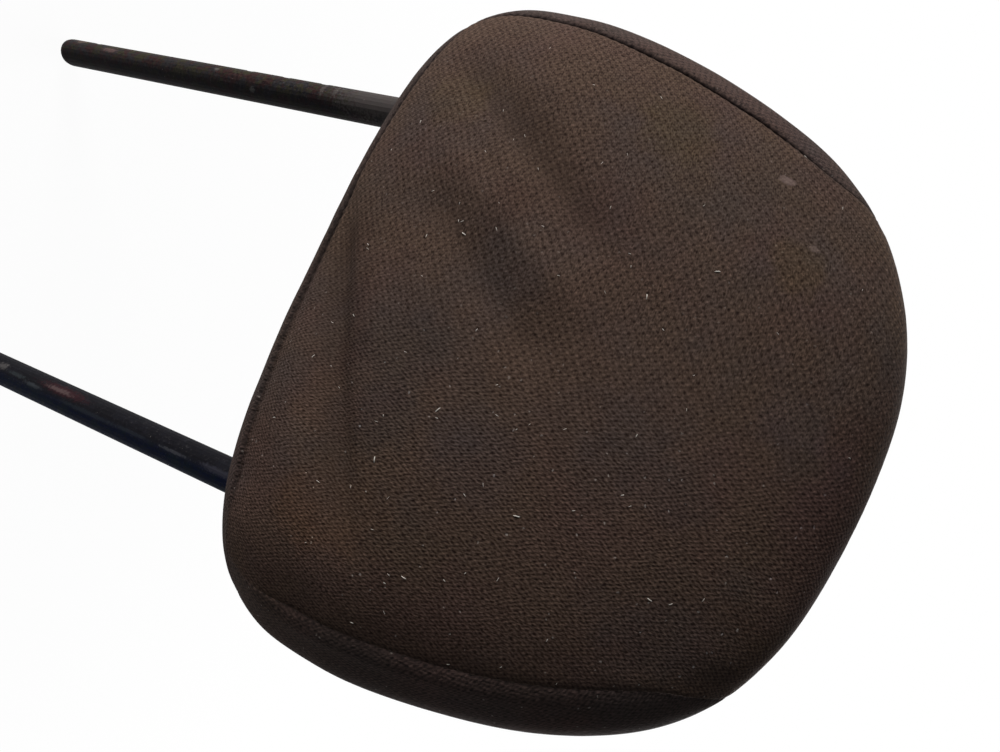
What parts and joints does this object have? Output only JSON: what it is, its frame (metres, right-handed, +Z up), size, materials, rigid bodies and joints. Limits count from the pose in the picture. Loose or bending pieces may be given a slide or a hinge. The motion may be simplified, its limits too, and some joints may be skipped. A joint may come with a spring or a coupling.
{
  "type": "car seat headrest",
  "caption": "Car seat headrest: a sewn, foam-filled cushion on a bent steel rod whose two round posts slide into the seat's guide sleeves.",
  "frame": {"origin": "midway between the axes of the two posts, level with the lowest point of the cushion's underside", "axes": "+Z up along the posts towards the crown, -Y towards the front that the head meets, +X along the line of the posts"},
  "size_m": [0.2224, 0.1041, 0.3866],
  "materials": {
    "post_steel": "worn satin black steel with brown wear",
    "core_plastic": "moulded black plastic",
    "screw_steel": "plated steel",
    "pad_foam": "moulded polyurethane foam",
    "cover_knit": "dark brown-grey knit with small pits",
    "side_knit": "dark brown-grey plain knit",
    "closure_plastic": "extruded black plastic",
    "bezel_plastic": "moulded black plastic"
  },
  "bodies": {
    "root": {"post_frame": "post_steel", "core_front_half": "core_plastic", "core_rear_half": "core_plastic", "core_screw_1": "screw_steel", "core_screw_2": "screw_steel", "core_screw_3": "screw_steel", "core_screw_4": "screw_steel", "foam_pad": "pad_foam", "cover_main_panel": "cover_knit", "cover_rear_panel": "cover_knit", "cover_left_side_panel": "side_knit", "cover_right_side_panel": "side_knit", "cover_bottom_front_flap": "side_knit", "cover_bottom_rear_flap": "side_knit", "closure_strip_front": "closure_plastic", "closure_strip_rear": "closure_plastic", "post_bezel_left": "bezel_plastic", "post_bezel_right": "bezel_plastic"}
  },
  "joints": []
}
